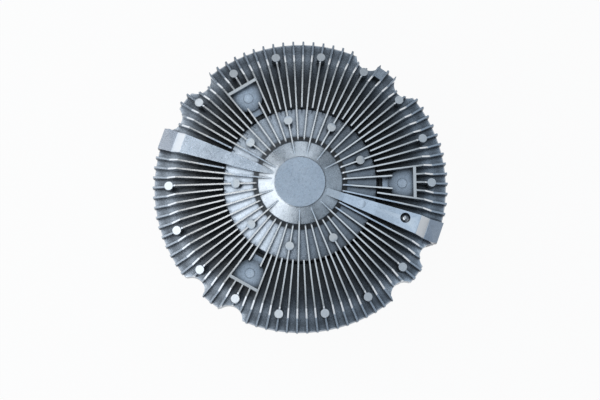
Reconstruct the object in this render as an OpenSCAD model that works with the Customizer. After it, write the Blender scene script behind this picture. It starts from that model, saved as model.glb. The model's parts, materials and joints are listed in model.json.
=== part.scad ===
// Viscous fan clutch: a finned casing that turns on a flanged shaft, with a labyrinth rotor in silicone
// oil and a solenoid that works the oil valve. The shaft flange stands on z = 0 and the nose points up.

/* [Rim and walls] */
// Diameter over the outer ends of the cooling fins
rim_d = 280; // [276:1:290]
// How far the fin ends stand out of the rim
fin_proud = 1; // [0.5:0.1:1.5]
// Height of the floor between the fins at the rim, above the joint face
rim_floor_h = 5.5; // [5:0.25:6.5]
// Height of that floor at the dome
floor_h = 12.5; // [12:0.25:13.5]
// Distance from the rim where that floor turns down
floor_bend_in = 40; // [38:0.5:42]
// Drop of that floor from the dome to the turn
floor_drop = 1; // [0.5:0.1:1.5]
// Height of the oil chamber's roof above the joint face
inner_h = 4; // [3.5:0.25:4.5]
// Wall of the cover casting
wall = 4; // [3:0.25:4.5]
// Small edge break on the castings
edge_c = 1; // [0.5:0.1:1.5]

/* [Nose and dome] */
// Diameter of the flat nose
nose_d = 49; // [44:0.5:52]
// Height of the nose above the joint face
nose_h = 36; // [35.5:0.25:38]
// Diameter of the foot of the shallow cone round the nose
cone_d = 79; // [76:0.5:81]
// Height of the foot of the shallow cone
cone_h = 31.5; // [30.5:0.25:32.5]
// Diameter where the terrace begins
terrace_d = 88.6; // [86:0.2:92]
// Height of the terrace at its inner edge
terrace_h = 28.5; // [27.5:0.25:29.5]
// Diameter of the dome at the outer edge of the terrace
dome_d = 145.6; // [143:0.2:147]
// Height of the terrace at its outer edge
dome_h = 22; // [21.5:0.25:24]
// Outward slope of the dome's side wall, as a radial run
dome_draft = 2.2; // [1:0.1:3]

/* [Cooling fins] */
// Number of fins round the cover
fin_count = 90; // [72:18:108]
// Fin thickness at the highest top
fin_tip_t = 1.2; // [1:0.1:1.8]
// Fin thickness at the floor
fin_root_t = 2; // [1.8:0.1:2.6]
// Distance from the rim where the fin tops turn down
knee_in = 22; // [20:0.5:25]
// Height of the fin tops at that turn
fin_knee_h = 25; // [24:0.5:27]
// Distance from the rim to the foot of the steep facet on the fins
step_in = 13.5; // [12:0.25:15]
// Height of the fins at the foot of the facet
fin_step_h = 16; // [15:0.5:18]
// Height of the fins at the rim
fin_end_h = 14.4; // [13:0.2:15]
// Height where the long fins meet the nose cone
fin_nose_h = 35.2; // [34.8:0.1:35.6]
// Every how many fins one runs on up the nose cone
nose_fin_step = 6; // [2:2:6]

/* [Ribs, pads and pockets] */
// Angle of the first of the two oil return ribs
rib_a = 160; // [140:20:160]
// Side growth of a rib over the gap between its two fins
rib_side = 1; // [0.8:0.1:1.2]
// Spread of the second rib where it joins the nose cone
rib_fan_a = 8; // [6:0.5:9]
// Radius where that spread ends
rib_fan_r = 62; // [56:1:66]
// Diameter of the flat pads on the fins
pad_d = 8; // [7:0.2:8.6]
// Distance of the outer pads and the cover screws from the rim
pad_in = 15.8; // [15:0.1:16]
// Height of the outer pads
pad_h = 22.5; // [20:0.5:23.5]
// Outward slope of the tops of the outer pads, in degrees
pad_slope_a = 12; // [8:1:13]
// Circle of the inner pads
inner_pad_pcd = 121.2; // [116:0.2:126]
// How far the inner pads stand over the fin tops
inner_pad_rise = 0.4; // [0.2:0.1:0.8]
// Place of a pocket's straight wall, as a share of the way from the dome to the rim
pocket_wall_share = 0.524; // [0.5:0.004:0.54]
// Thickness of that wall
pocket_wall_t = 2.8; // [2.2:0.1:3.4]
// Distance from that wall to the ends of the inner fins, as the same share
pocket_share = 0.312; // [0.27:0.004:0.33]
// Distance from that wall to the middle of the pad in a pocket, as the same share
pocket_pad_share = 0.171; // [0.15:0.003:0.19]
// Gap from the round end of that pad to the middle of the fins beside it
pocket_pad_side = 0.4; // [0.2:0.1:0.6]
// Height of that pad
pocket_pad_h = 19; // [16:0.5:21]
// Diameter of the round mark on the pad
pocket_mark_d = 8.6; // [7:0.2:10]
// Length of the tongue from the pad toward the dome
tongue_l = 5.5; // [4:0.25:6]
// Width of the tongue
tongue_w = 9; // [7:0.5:11]
// Drop of the tongue below the pad
tongue_drop = 3; // [1:0.5:4]
// Radius of the rim notches
notch_r = 13; // [11:0.5:14]
// How far the notch centres lie outside the rim
notch_out = 3; // [2:0.5:5]
// Angle of the middle of the first notch pair
notch_a = 52; // [50:1:54]
// Half the angle between the notches of a pair
notch_half_a = 9; // [8:0.5:10]
// Number of the fin gap that a land fills at the rim, beside a notch
land_gap = 13; // [12:1:13]
// Length of that land
land_l = 12.5; // [10:0.5:13]
// Step from the fins down to that land
land_drop = 0.4; // [0.2:0.1:0.8]

/* [Oil system] */
// Diameter of the oil return drillings in the ribs
channel_d = 5; // [4:0.25:5.5]
// Height of a drilling at the rim
channel_rim_h = 7; // [6:0.25:7.5]
// Height of a drilling at the reservoir wall
channel_in_h = 17; // [16.5:0.1:17.5]
// Diameter of the fill hole in the second rib
fill_d = 9.6; // [8:0.2:10]
// Distance of the fill hole from the rim
fill_in = 36; // [33:0.5:38]
// Sideways place of the fill hole on its rib
fill_side = 1.75; // [1:0.25:2]
// Diameter of the small casting mark on the first rib
nib_d = 1.8; // [1.2:0.2:3]
// Distance of that mark from the rim
nib_in = 29.5; // [27:0.5:34]
// Distance from the dome's edge to the edge of the reservoir plate
plate_in = 5.3; // [4.8:0.1:6.5]
// Thickness of the reservoir plate
plate_t = 2; // [1.5:0.1:2.2]
// Height of the reservoir plate's upper face above the joint face
plate_h = 13; // [12.8:0.1:13.2]
// Width of the seat under the plate's edge
plate_seat_w = 3; // [2:0.25:3.5]
// Diameter of the oil port in the plate
port_d = 8; // [6:0.25:8.5]
// Distance of the port from the axis
port_r = 52; // [50:0.5:53]

/* [Valve] */
// Width of the valve lever
lever_w = 14; // [12:0.5:15]
// Thickness of the valve lever
lever_t = 1.2; // [1:0.1:1.4]
// Distance of the lever's pivot from the axis
pivot_r = 46; // [45:0.5:47]
// Gap under the valve pad when the valve is open
valve_gap = 3.1; // [3:0.05:3.2]
// Diameter of the valve pad
valve_pad_d = 11; // [10:0.25:12]
// Thickness of the valve pad
valve_pad_t = 2; // [1.8:0.1:2.1]
// Diameter of the armature
armature_d = 28; // [24:0.5:30]
// Thickness of the armature
armature_t = 4; // [3:0.25:4]
// Height of the armature's under face above the joint face
armature_h = 10; // [9.9:0.1:10.4]
// Diameter of the pivot pin
pin_d = 3; // [2.6:0.1:3.2]

/* [Rotor] */
// Radial gap between the rotor and the chamber wall
rotor_gap = 3.3; // [3:0.1:3.6]
// Radial pitch of the ridges
ridge_pitch = 6; // [5.8:0.1:6]
// Thickness of a ridge
ridge_t = 2.4; // [2:0.1:2.5]
// Number of ridges on each side of the rotor
ridge_count = 6; // [4:1:6]
// Gap at the tips of the ridges
tip_gap = 0.8; // [0.6:0.1:1.2]
// Thickness of the rotor web
web_t = 6; // [5:0.5:6.5]
// Depth of the rotor web below the joint face
web_drop = 3; // [2.5:0.25:3.5]
// Length of the rotor hub
rotor_hub_l = 14; // [13.5:0.25:15]
// Wall of the rotor hub over the main bearing's bore
rotor_hub_wall = 6.5; // [5:0.25:7]
// Number of oil holes in the rotor web
oil_hole_count = 8; // [4:1:12]
// Diameter of the oil holes
oil_hole_d = 10; // [6:0.5:12]
// Circle of the oil holes
oil_hole_pcd = 116; // [100:1:124]

/* [Rear housing] */
// Depth of the rear half of the oil chamber
chamber_depth = 16; // [15.5:0.25:17]
// Distance from the rim to the wall of the oil chamber
chamber_in = 23.5; // [23.25:0.05:24]
// Rear wall of the housing
rear_wall = 4; // [3:0.25:5]
// Side wall of the housing
side_wall = 3; // [2.5:0.1:3.2]
// Thickness of the housing's rim flange
rim_flange_t = 8; // [7:0.5:9]
// How far the housing's rim flange stays inside the cover's rim
rim_flange_back = 1; // [0.5:0.25:2]
// Number of fins on the rear wall
rear_fin_count = 36; // [36:36:36]
// Thickness of the rear fins
rear_fin_t = 2.4; // [2:0.1:2.8]
// Depth of the rear fins below the rear wall
rear_fin_h = 11; // [8:0.5:12]
// Width of the fan seat
fan_seat_w = 18; // [16:0.5:20]
// Depth of the fan seat below the rear wall
fan_seat_h = 14; // [13:0.5:15]
// Number of fan bolt holes
fan_hole_count = 8; // [4:4:8]
// Distance of the fan bolt circle from the rim
fan_in = 37; // [36:0.5:38]
// Tapping diameter of the fan bolt holes
fan_hole_d = 6.8; // [6:0.2:8.5]
// Wall of the hub round the main bearing
hub_wall = 7.5; // [6.5:0.25:8]
// Number of teeth on the speed ring
tooth_count = 30; // [20:1:36]
// Radial thickness of the speed ring
tooth_ring_t = 5; // [4:0.1:5.2]

/* [Cover screws and seal] */
// Diameter of the cover screws
screw_d = 5; // [4:0.25:5]
// Length of the cover screws under the head
screw_l = 20; // [16:0.5:22]
// Diameter of the screw heads
screw_head_d = 8.5; // [7.5:0.25:8.6]
// Height of the screw heads
screw_head_h = 5; // [4:0.25:5]
// Width of the seal's groove
seal_w = 2.4; // [2:0.1:2.6]
// Depth of the seal's groove
seal_depth = 1.9; // [1.5:0.1:2.2]

/* [Shaft] */
// Diameter of the mounting flange
flange_d = 110; // [108:1:116]
// Thickness of the mounting flange
flange_t = 10; // [8.5:0.5:12]
// Diameter of the centring bore in the flange
pilot_d = 36; // [30:1:40]
// Depth of the centring bore
pilot_depth = 6; // [4:0.5:7]
// Circle of the flange bolt holes
flange_pcd = 88; // [84:1:90]
// Diameter of the flange bolt holes
flange_hole_d = 10.5; // [8.5:0.5:11]
// Radial step from the magnet bearing's bore to the neck
neck_step = 6.5; // [5:0.5:7.5]
// Length of the neck
neck_l = 18; // [17:0.5:22]
// Radial step from the main bearing's bore to the rotor seat
seat_step = 2.5; // [1.5:0.25:3]
// Radial step from the rotor seat to the threaded end
thread_step = 3; // [2:0.25:4]
// Height of the rotor nut
nut_h = 7.5; // [6:0.25:7.6]
// Width of the rotor nut across its flats, in thread diameters
nut_share = 1.5; // [1.4:0.05:1.6]

/* [Bearings] */
// Outer diameter of the main bearing
main_od = 72; // [71:0.5:73]
// Radial height of the main bearing's section
main_section = 18.5; // [18:0.25:19]
// Width of the main bearing
main_w = 27; // [26:0.5:30]
// Ball diameter of the main bearing
main_ball_d = 9.5; // [9:0.1:9.8]
// Balls in each row of the main bearing
main_ball_count = 12; // [10:1:13]
// Distance between the rows of balls
main_row_gap = 12; // [11.5:0.25:12.5]
// Outer diameter of the magnet bearing
mag_od = 68; // [67:0.5:69]
// Radial height of the magnet bearing's section
mag_section = 11.5; // [11:0.25:12]
// Width of the magnet bearing
mag_w = 12; // [11:0.5:13]
// Ball diameter of the magnet bearing
mag_ball_d = 6; // [5.6:0.1:6.2]
// Balls in the magnet bearing
mag_ball_count = 16; // [12:1:20]

/* [Solenoid] */
// Length of the solenoid
sol_l = 24; // [23:0.5:26]
// Radial room for the bobbin and its winding
coil_room = 9.5; // [9:0.25:10]
// Wall of the steel case
case_wall = 3; // [2.5:0.25:3.5]
// Wall of the sleeve on the magnet bearing
sleeve_t = 3.5; // [3:0.25:4]
// Thickness of the plastic cover on the case
skirt_t = 3; // [2.5:0.25:3.5]
// Thickness of the plastic front ring
front_ring_t = 2; // [1.5:0.25:2.5]
// Angle of the cable outlet
gland_a = 180; // [180:10:240]
// Diameter of the cable outlet
gland_d = 14; // [12:0.5:15]
// How far the cable outlet stands out
gland_l = 11; // [8:0.5:14]
// Diameter of the hole for the cable
cable_d = 7; // [5:0.5:8]
// Reach of the torque bracket beyond the case
bracket_out = 28; // [24:1:34]
// Width of the torque bracket
bracket_w = 20; // [16:1:24]
// Thickness of the torque bracket
bracket_t = 3; // [2:0.25:3.5]

/* [Fits] */
// Gap of pieces that sit in each other
seat_gap = 0.02; // [0.01:0.01:0.05]
// Gap of pieces that turn in each other
run_gap = 0.08; // [0.05:0.01:0.1]
// Radial gap round a screw in its hole
screw_gap = 0.25; // [0.15:0.05:0.4]
// Gap between the bearing seals and the inner ring
seal_gap = 0.3; // [0.2:0.05:0.4]
// Axial gap between the solenoid and the hub
hub_gap = 1.5; // [1:0.25:2]
// Radial gap between the speed sensor and its ring
sensor_gap = 1; // [0.8:0.1:1.5]
// Gap between the rotor's rim and a pump wiper
wiper_gap = 0.6; // [0.5:0.1:0.8]

/* [Hidden] */
$fn = 96;
eps = 0.5;
deep = 400;
pitch_a = 360 / fin_count;
rim_r = rim_d / 2;
body_r = rim_r - fin_proud;
bend_r = rim_r - floor_bend_in;
nose_r = nose_d / 2;
cone_r = cone_d / 2;
terrace_r = terrace_d / 2;
dome_r = dome_d / 2;
dome_foot_r = dome_r + dome_draft;
knee_r = rim_r - knee_in;
step_r = rim_r - step_in;
pad_r = rim_r - pad_in;
groove_l = rim_r - dome_r;
pocket_wall_r = dome_r + pocket_wall_share * groove_l;
pocket_in_r = pocket_wall_r - pocket_share * groove_l;
pocket_pad_r = pocket_wall_r - pocket_pad_share * groove_l;
pocket_end_r = pocket_pad_r * sin(2 * pitch_a) - pocket_pad_side;
fill_r = rim_r - fill_in;
nib_r = rim_r - nib_in;
inner_pad_r = inner_pad_pcd / 2;
chamber_r = rim_r - chamber_in;
fin_sink = 1.5;
fin_foot_h = 3;
fin_slope = (fin_nose_h - fin_knee_h) / (knee_r - nose_r);
fin_end_run = 2.5;
skin_shift = 0.6 * wall;
pad_step_a = 20;
inner_pad_count = 9;
pocket_count = 3;
mark_rise = 0.5;
rib_point_in = 2;
rib_point_l = 6;
nib_side = 3;
ball_sink = 1.5;
notch_pair_count = 4;
plate_r = dome_r - plate_in;
plate_bore_r = plate_r + seat_gap;
plate_seat_r = plate_bore_r - plate_seat_w;
clip_t = 1.75;
clip_gap_a = 14;
snap_t = 1.6;
snap_depth = 1.3;
snap_w = 4.3;
channel_rise = channel_in_h - channel_rim_h;
channel_run = rim_r - plate_seat_r;
channel_a = atan2(channel_rise, channel_run);
channel_l = sqrt(channel_rise * channel_rise + channel_run * channel_run);
plug_l = 6;
plug_sink = 3;
wiper_a = 6;
wiper_shift_a = 2;

main_bore = main_od - 2 * main_section;
mag_bore = mag_od - 2 * mag_section;
neck_d = mag_bore + 2 * neck_step;
rotor_seat_d = main_bore - 2 * seat_step;
shaft_end_d = rotor_seat_d - 2 * thread_step;
nut_af = nut_share * shaft_end_d;
rotor_hub_d = main_bore + 2 * rotor_hub_wall;
hub_d = main_od + 2 * hub_wall;
tooth_ring_d = hub_d + 2 * tooth_ring_t;
case_r = mag_od / 2 + sleeve_t + coil_room + case_wall;
bracket_r = case_r + bracket_out;
fan_r = rim_r - fan_in;

// Heights of the shaft's steps, from the flange up
mag_z = flange_t + neck_l;
sol_z = mag_z;
sol_top = sol_z + sol_l;
hub_z = sol_top + hub_gap;
lip_t = 2;
lip_in = 3;
main_z = hub_z + lip_t;
rotor_z = main_z + main_w;
joint_z = rotor_z + rotor_hub_l;

// Heights below are measured from the joint face
web_top = -web_drop;
web_low = web_top - web_t;
rear_in = -chamber_depth;
rear_out = rear_in - rear_wall;
hub_low = hub_z - joint_z;
main_low = main_z - joint_z;
main_top = rotor_z - joint_z;
hub_clip_t = 2;
hub_clip_depth = 1.5;
hub_clip_w = 4;
hub_top = main_top + hub_clip_t + hub_clip_depth;
hub_wall_in = 8;
wall_r = chamber_r + side_wall;
flange_rim_r = body_r - rim_flange_back;
fan_seat_low = rear_out - fan_seat_h;
fan_hole_bottom = 2.5;
rear_fin_low = rear_out - rear_fin_h;
rear_fin_rise = 2;
rear_fin_run = 18;
rear_fin_out = 6;
rear_fin_end_h = 3;
seal_r = chamber_r + 1 + seal_w / 2;
lever_low = plate_h + valve_gap + valve_pad_t;
pivot_h = lever_low + lever_t / 2;
barrel_r = pin_d / 2 + 1.7;
lever_end = port_r + valve_pad_d / 2;
ear_t = 1.2;
ear_x = lever_w / 2 + 0.4;
base_t = 1.2;
stem_d = 12;
armature_gap = 3;
ear_back = 4;
ear_r = 3;
side_gap = 0.3;
lever_start = 6;
lever_tail = 8;
shaft_end_h = nut_h + 0.3;
neck_c = 3;
shoulder_l = 1.5;
shoulder_t = 2.4;
rotor_r = chamber_r - rotor_gap;
ridge_r = rotor_r - ridge_t / 2 - (ridge_count - 1) * ridge_pitch;
main_pitch_r = (main_bore + main_od) / 4;
mag_pitch_r = (mag_bore + mag_od) / 4;
ring_share = 0.36;
tooth_low = hub_low + 1;
tooth_l = 7;
sensor_w = 14;
sensor_t = 6;
sensor_up = 8;
sensor_tip_l = 3.5;

function blend(a, b, t) = a + (b - a) * t;
function facet_top(r) = blend(fin_knee_h, fin_step_h, (r - knee_r) / (step_r - knee_r));
function outer_top(r) = blend(fin_step_h, fin_end_h, (r - step_r) / (rim_r - step_r));
function inner_top(r) = fin_knee_h + (knee_r - r) * fin_slope;
function fin_top(r) = r < knee_r ? inner_top(r) : r < step_r ? facet_top(r) : outer_top(r);

// Height of the floor between the fins, taken a little low inside its turn
function slope_top(r) = blend(floor_h - floor_drop, rim_floor_h, (r - bend_r) / (body_r - bend_r));
function floor_top(r) = r < bend_r ? floor_h - floor_drop : slope_top(r);

function terrace_top(r) = blend(terrace_h, dome_h, (r - terrace_r) / (dome_r - terrace_r));

// Upper outline of a fin, from the inside out
function top_line(r_in, r_out) = concat(
    [[r_in, fin_top(r_in)]],
    [for (k = [knee_r, step_r]) if (r_in < k && k < r_out) [k, fin_top(k)]],
    [[r_out, fin_top(r_out)]]);

// Foot of a fin that reaches the rim, buried in the floor
rim_foot = [
    [rim_r, fin_foot_h],
    [body_r - fin_sink, fin_foot_h]];
bend_foot = [[bend_r, floor_top(bend_r) - fin_sink]];

// Foot of a fin that climbs the dome, buried in its wall
dome_foot = [
    [dome_foot_r, floor_h - fin_sink],
    [dome_r - fin_sink, dome_h - fin_sink],
    [terrace_r, terrace_h - fin_sink],
    [cone_r, cone_h - fin_sink]];

short_fin = concat(top_line(dome_r, rim_r), rim_foot, bend_foot, [[dome_r, floor_h - fin_sink]]);
long_fin = concat(
    [[cone_r - eps, cone_h - eps]],
    top_line(cone_r + fin_end_run, rim_r),
    rim_foot,
    bend_foot,
    dome_foot);
nose_fin = concat(
    top_line(nose_r, rim_r),
    rim_foot,
    bend_foot,
    dome_foot,
    [[nose_r, nose_h - fin_sink - eps]]);
inner_fin = concat(
    [[cone_r - eps, cone_h - eps]],
    top_line(cone_r + fin_end_run, pocket_in_r),
    [[pocket_in_r, floor_top(pocket_in_r) - fin_sink]],
    dome_foot);
outer_fin = concat(
    top_line(pocket_wall_r, rim_r),
    rim_foot,
    [[pocket_wall_r, floor_top(pocket_wall_r) - fin_sink]]);

// Shapes shared by the pieces below
module on_joint() {
    translate([0, 0, joint_z]) children();
}

module ring(r_in, r_out, z0, z1) {
    rotate_extrude() translate([r_in, z0]) square([r_out - r_in, z1 - z0]);
}

module around(n, start = 0) {
    for (i = [0:n - 1]) rotate(start + i * 360 / n) children();
}

module open_ring(r_in, r_out, z0, z1) {
    difference() {
        ring(r_in, r_out, z0, z1);
        rotate(-clip_gap_a / 2) wedge_cut(clip_gap_a, r_out + eps, z0 - eps, z1 + eps);
    }
}

module wedge_cut(a, r, z0, z1) {
    far = 1.2 * r;
    translate([0, 0, z0]) linear_extrude(z1 - z0)
        polygon([[0, 0], [far, 0], [far * cos(a), far * sin(a)]]);
}

// A plate in the r-z plane with the given outline
module radial_plate(outline, t) {
    rotate([90, 0, 0]) linear_extrude(t, center = true) polygon(outline);
}

// A fin with draft: the outline cut from a bar that is thinner at its top
module fin(outline) {
    low = fin_foot_h;
    high = fin_nose_h + eps;
    root = fin_root_t / 2;
    tip = fin_tip_t / 2;
    intersection() {
        radial_plate(outline, 2 * fin_root_t);
        rotate([90, 0, 90]) linear_extrude(rim_r + eps)
            polygon([[-root, low], [root, low], [tip, high], [-tip, high]]);
    }
}

function is_rib(i) = abs((i * pitch_a - rib_a + 90) % 180 - 90) < 1.5 * pitch_a;
function pocket_off(i) = abs((i * pitch_a + 60) % 120 - 60) / pitch_a;

module fins() {
    for (i = [0:fin_count - 1])
        if (!is_rib(i)) rotate(i * pitch_a) fin_at(i);
}

module fin_at(i) {
    near = pocket_off(i) < 1.5;
    if (near) fin(outer_fin);
    if (near && i % 2 == 1) fin(inner_fin);
    if (!near && i % 2 == 0) fin(short_fin);
    if (!near && i % 2 == 1 && i % nose_fin_step != 1) fin(long_fin);
    if (!near && i % nose_fin_step == 1) fin(nose_fin);
}

// A rib fills the gap between two fins from the rim to the nose cone
module rib() {
    half = rib_side + fin_root_t / 2;
    grow = tan(pitch_a);
    point_r = nose_r + rib_point_l;
    intersection() {
        radial_plate(nose_fin, 2 * (half + rim_r * grow));
        linear_extrude(nose_h + eps) polygon([
            [nose_r - rib_point_in, 0],
            [point_r, -point_r * grow],
            [terrace_r, -half / 2 - terrace_r * grow],
            [rim_r, -half / 2 - rim_r * grow],
            [rim_r, half / 2 + rim_r * grow],
            [terrace_r, half / 2 + terrace_r * grow],
            [point_r, point_r * grow]]);
    }
}

// The second rib spreads where it joins the nose cone
module rib_fan() {
    intersection() {
        radial_plate(nose_fin, 2 * rib_fan_r);
        linear_extrude(nose_h + eps) polygon([
            [nose_r * cos(rib_fan_a), -nose_r * sin(rib_fan_a)],
            [rib_fan_r * cos(pitch_a), -rib_fan_r * sin(pitch_a)],
            [rib_fan_r * cos(pitch_a), rib_fan_r * sin(pitch_a)],
            [nose_r * cos(rib_fan_a), nose_r * sin(rib_fan_a)]]);
        cylinder(r = rib_fan_r, h = nose_h + eps);
    }
}

// A small casting mark on the first rib
module nib() {
    low = fin_top(nib_r) - fin_sink;
    translate([nib_r, nib_side, low]) cylinder(d = nib_d, h = fin_sink + mark_rise);
}

module at_ribs() {
    for (a = [rib_a, rib_a + 180]) rotate(a) children();
}

module at_outer_pads() {
    for (a = [0:pad_step_a:340])
        if ((a - rib_a) % 180 != 0) rotate(a) translate([pad_r, 0, 0]) children();
}

module pads() {
    low = floor_top(pad_r) - fin_sink;
    rise = pad_d * tan(pad_slope_a);
    at_outer_pads() intersection() {
        translate([0, 0, low]) cylinder(d = pad_d, h = pad_h);
        radial_plate([
            [-pad_d, 0],
            [pad_d, 0],
            [pad_d, pad_h - rise],
            [-pad_d, pad_h + rise]], 2 * pad_d);
    }
    inner_low = terrace_top(inner_pad_r) - fin_sink;
    inner_top = fin_top(inner_pad_r) + inner_pad_rise;
    around(inner_pad_count, pad_step_a) translate([inner_pad_r, 0, inner_low])
        cylinder(d = pad_d, h = inner_top - inner_low);
}

// A pocket: a straight wall across four fin gaps, a pad with a round end and a tongue toward the dome
module pocket() {
    low = floor_top(pocket_wall_r) - fin_sink;
    spread = tan(2 * pitch_a);
    wall_in_r = pocket_wall_r - pocket_wall_t / 2;
    wall_w = 2 * pocket_wall_r * spread;
    tongue_in = pocket_pad_r - pocket_end_r - tongue_l;
    translate([wall_in_r, -wall_w / 2, low]) cube([pocket_wall_t, wall_w, fin_top(wall_in_r) - low]);
    translate([0, 0, low]) linear_extrude(pocket_pad_h - low) polygon([
        [pocket_pad_r, -pocket_pad_r * spread],
        [pocket_wall_r, -pocket_wall_r * spread],
        [pocket_wall_r, pocket_wall_r * spread],
        [pocket_pad_r, pocket_pad_r * spread]]);
    translate([pocket_pad_r, 0, low]) cylinder(r = pocket_end_r, h = pocket_pad_h - low);
    translate([pocket_pad_r, 0, low]) cylinder(d = pocket_mark_d, h = pocket_pad_h + mark_rise - low);
    translate([tongue_in, -tongue_w / 2, low])
        cube([pocket_pad_r - tongue_in, tongue_w, pocket_pad_h - tongue_drop - low]);
}

// A land that fills one gap between two fins at the rim
module rim_land() {
    land_r = rim_r - land_l;
    end_r = body_r - fin_sink;
    spread = tan(pitch_a / 2);
    intersection() {
        radial_plate([
            [land_r, fin_top(land_r) - land_drop],
            [end_r, fin_top(end_r) - land_drop],
            [end_r, fin_foot_h],
            [land_r, floor_top(land_r) - fin_sink]], 2 * rim_r * spread);
        linear_extrude(nose_h) polygon([[0, 0], [rim_r, -rim_r * spread], [rim_r, rim_r * spread]]);
    }
}

module notches() {
    around(notch_pair_count, notch_a) for (s = [-1, 1]) rotate(s * notch_half_a)
        translate([rim_r + notch_out, 0, -deep / 2]) cylinder(r = notch_r, h = deep);
}

// Places a piece on the axis of a return drilling, with z pointing inward from the rim
module on_channel() {
    translate([rim_r, 0, channel_rim_h]) rotate([0, -90 + channel_a, 0]) children();
}

module channels() {
    at_ribs() {
        on_channel() translate([0, 0, -eps]) cylinder(d = channel_d, h = channel_l + 1);
        translate([chamber_r - channel_d / 2 - eps, 0, 0]) cylinder(d = channel_d, h = channel_in_h / 2 + 2);
    }
    rotate(rib_a + 180) translate([fill_r, fill_side, channel_in_h - channel_rise / 2])
        cylinder(d = fill_d, h = nose_h);
}

cover_outline = [
    [0, nose_h],
    [nose_r - edge_c, nose_h],
    [nose_r, nose_h - edge_c / 2],
    [cone_r, cone_h],
    [terrace_r, terrace_h],
    [dome_r - edge_c, terrace_top(dome_r - edge_c)],
    [dome_r, dome_h - edge_c],
    [dome_foot_r, floor_h],
    [bend_r, floor_top(bend_r)],
    [body_r - edge_c, floor_top(body_r - edge_c)],
    [body_r, rim_floor_h - edge_c],
    [body_r, 0],
    [chamber_r, 0],
    [chamber_r, inner_h],
    [plate_bore_r, inner_h],
    [plate_bore_r, plate_h],
    [plate_seat_r, plate_h],
    [plate_seat_r, terrace_top(plate_seat_r) - wall],
    [terrace_r - skin_shift, terrace_h - wall],
    [cone_r - skin_shift, cone_h - wall],
    [nose_r, nose_h - wall],
    [0, nose_h - wall]];

module front_cover() {
    color([0.72, 0.74, 0.77]) on_joint() difference() {
        union() {
            rotate_extrude() polygon(cover_outline);
            fins();
            at_ribs() rib();
            rotate(rib_a + 180) rib_fan();
            pads();
            around(pocket_count) pocket();
            rotate(rib_a) nib();
            rotate((land_gap + 0.5) * pitch_a) rim_land();
            ridges(1, web_top + tip_gap, inner_h + eps);
        }
        notches();
        channels();
        at_outer_pads() translate([0, 0, -eps])
            cylinder(r = screw_d / 2 + seat_gap, h = screw_l - rim_flange_t + 1 + eps);
        snap_low = plate_h - plate_t - snap_t;
        ring(plate_bore_r - eps, plate_bore_r + snap_depth, snap_low, plate_h - plate_t);
    }
}

// Concentric labyrinth ridges; those of the casing stand in the gaps between those of the rotor
module ridges(casing, z0, z1) {
    shift = casing * ridge_pitch / 2;
    for (k = [0:ridge_count - 1 - casing]) {
        r = ridge_r + k * ridge_pitch + shift;
        ring(r - ridge_t / 2, r + ridge_t / 2, z0, z1);
    }
}

housing_outline = [
    [flange_rim_r, 0],
    [chamber_r, 0],
    [chamber_r, rear_in],
    [main_od / 2 + hub_wall_in, rear_in],
    [main_od / 2 + hub_wall_in, hub_top],
    [main_od / 2 + seat_gap, hub_top],
    [main_od / 2 + seat_gap, main_low],
    [main_od / 2 - lip_in, main_low],
    [main_od / 2 - lip_in, hub_low],
    [hub_d / 2 - edge_c, hub_low],
    [hub_d / 2, hub_low + edge_c],
    [hub_d / 2, rear_out],
    [wall_r, rear_out],
    [wall_r, -rim_flange_t],
    [flange_rim_r - edge_c, -rim_flange_t],
    [flange_rim_r, edge_c - rim_flange_t]];

rear_fin_outline = [
    [hub_d / 2 - eps, rear_out + eps],
    [hub_d / 2 - eps, rear_fin_low + rear_fin_rise],
    [hub_d / 2 + rear_fin_run, rear_fin_low],
    [chamber_r, rear_fin_low],
    [wall_r + rear_fin_out, rear_out],
    [flange_rim_r - edge_c, -rim_flange_t - rear_fin_end_h],
    [flange_rim_r - edge_c, eps - rim_flange_t],
    [wall_r - eps, eps - rim_flange_t],
    [wall_r - eps, rear_out + eps]];

module rear_housing() {
    color([0.68, 0.7, 0.73]) on_joint() difference() {
        union() {
            rotate_extrude() polygon(housing_outline);
            around(rear_fin_count, 180 / rear_fin_count) radial_plate(rear_fin_outline, rear_fin_t);
            ring(fan_r - fan_seat_w / 2, fan_r + fan_seat_w / 2, fan_seat_low, rear_out + eps);
            ridges(1, rear_in - eps, web_low - tip_gap);
        }
        notches();
        around(fan_hole_count, notch_a) translate([fan_r, 0, fan_seat_low - eps])
            cylinder(d = fan_hole_d, h = rear_in - fan_hole_bottom - fan_seat_low + eps);
        at_outer_pads() translate([0, 0, -rim_flange_t - eps])
            cylinder(r = screw_d / 2 + screw_gap, h = rim_flange_t + 2 * eps);
        ring(seal_r - seal_w / 2, seal_r + seal_w / 2, -seal_depth, eps);
        clip_r = main_od / 2 + hub_clip_depth;
        ring(main_od / 2 - eps, clip_r, main_top, main_top + hub_clip_t);
    }
}

module cover_seal() {
    color([0.12, 0.12, 0.13]) on_joint()
        ring(seal_r - seal_w / 2 + seat_gap, seal_r + seal_w / 2 - seat_gap, -seal_depth, 0);
}

module cover_screws() {
    socket_af = 0.8 * screw_d;
    socket_depth = 0.5 * screw_head_h;
    color([0.62, 0.62, 0.6]) on_joint() at_outer_pads() translate([0, 0, -rim_flange_t]) difference() {
        union() {
            translate([0, 0, -screw_head_h]) cylinder(d = screw_head_d, h = screw_head_h);
            cylinder(d = screw_d, h = screw_l);
        }
        translate([0, 0, -screw_head_h - eps])
            cylinder(d = socket_af / cos(30), h = socket_depth + eps, $fn = 6);
    }
}

module channel_plugs() {
    color([0.6, 0.6, 0.6]) on_joint() at_ribs() on_channel()
        translate([0, 0, plug_sink]) cylinder(r = channel_d / 2 - seat_gap, h = plug_l);
}

module fill_balls() {
    ball_r = fill_d / 2 - seat_gap;
    ball_h = fin_top(fill_r) - ball_r - ball_sink;
    color([0.7, 0.7, 0.72]) on_joint() rotate(rib_a + 180)
        translate([fill_r, fill_side, ball_h]) sphere(r = ball_r);
}

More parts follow.
